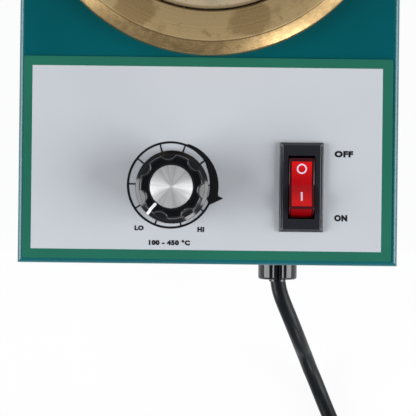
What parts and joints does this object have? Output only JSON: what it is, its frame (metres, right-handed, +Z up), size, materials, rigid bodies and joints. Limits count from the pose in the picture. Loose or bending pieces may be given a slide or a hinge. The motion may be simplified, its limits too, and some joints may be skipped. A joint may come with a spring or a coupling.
{
  "type": "solder pot",
  "caption": "Bench solder pot: folded steel housing with a heated crucible in a brass collar, dial control, rocker switch and mains lead.",
  "frame": {"origin": "centre of the housing's footprint, on the surface that the feet stand on", "axes": "+Y to the rear, away from the panel with the knob and switch; +X to the right; +Z up"},
  "size_m": [0.1346, 0.3536, 0.0948],
  "materials": {
    "teal_paint": "semi-gloss",
    "zinc_steel": "satin",
    "overlay_print": "satin",
    "machined_brass": "satin",
    "cast_crucible": "matt",
    "heater_steel": "satin",
    "ceramic_fibre": "matt",
    "bright_brass": "satin",
    "nickel_plate": "bright",
    "black_bakelite": "gloss",
    "black_nylon": "semi-gloss",
    "black_oxide": "satin",
    "spun_aluminium": "turned",
    "red_polycarbonate": "gloss",
    "circuit_laminate": "satin",
    "drawn_aluminium": "satin",
    "yellow_film": "gloss",
    "green_polyamide": "matt",
    "wire_insulation": "matt",
    "glass_braid": "matt",
    "foot_rubber": "matt",
    "lead_vinyl": "semi-gloss"
  },
  "bodies": {
    "housing": {"cover": "teal_paint", "base_tray": "zinc_steel", "side_screws": "nickel_plate", "rubber_feet": "foot_rubber", "foot_screws": "zinc_steel", "foot_nuts": "zinc_steel", "panel_overlay": "overlay_print", "collar": "machined_brass", "collar_screws": "zinc_steel", "crucible": "cast_crucible", "heater_band": "heater_steel", "band_screw": "zinc_steel", "insulation_sleeve": "ceramic_fibre", "insulation_disc": "ceramic_fibre", "shield_can": "zinc_steel", "sensor_probe": "nickel_plate", "sensor_clip": "bright_brass", "control_body": "black_nylon", "control_tags": "bright_brass", "control_bushing": "bright_brass", "control_washer": "zinc_steel", "control_nut": "nickel_plate", "switch_housing": "black_nylon", "switch_terminals": "bright_brass", "control_board": "circuit_laminate", "board_spacers": "bright_brass", "board_screws": "zinc_steel", "triac": "black_nylon", "heat_sink": "drawn_aluminium", "film_capacitor": "yellow_film", "fuse_holder": "black_nylon", "terminal_block": "green_polyamide", "earth_stud": "zinc_steel", "earth_nut": "zinc_steel", "control_leads": "wire_insulation", "switch_leads": "wire_insulation", "heater_leads": "glass_braid", "sensor_lead": "glass_braid", "mains_cores": "wire_insulation", "strain_relief": "black_nylon", "cord_lead": "lead_vinyl", "cord_coil": "lead_vinyl", "cord_tie": "black_nylon", "cord_tail": "lead_vinyl", "plug_body": "lead_vinyl", "plug_pins": "nickel_plate", "plug_earth_clips": "nickel_plate"},
    "knob": {"knob_body": "black_bakelite", "knob_disc": "spun_aluminium", "knob_grub_screw": "black_oxide", "control_shaft": "nickel_plate"},
    "rocker": {"switch_rocker": "red_polycarbonate"}
  },
  "joints": [
    {"name": "knob_turn", "type": "hinge", "parent": "housing", "child": "knob", "pos_m": [-0.0123, -0.0737, 0.0804], "axis": [0, 0, 1], "range_deg": [-270, 0]},
    {"name": "rocker_press", "type": "hinge", "parent": "housing", "child": "rocker", "pos_m": [0.0319, -0.0733, 0.07953], "axis": [1, 0, 0], "range_deg": [0, 22]}
  ]
}
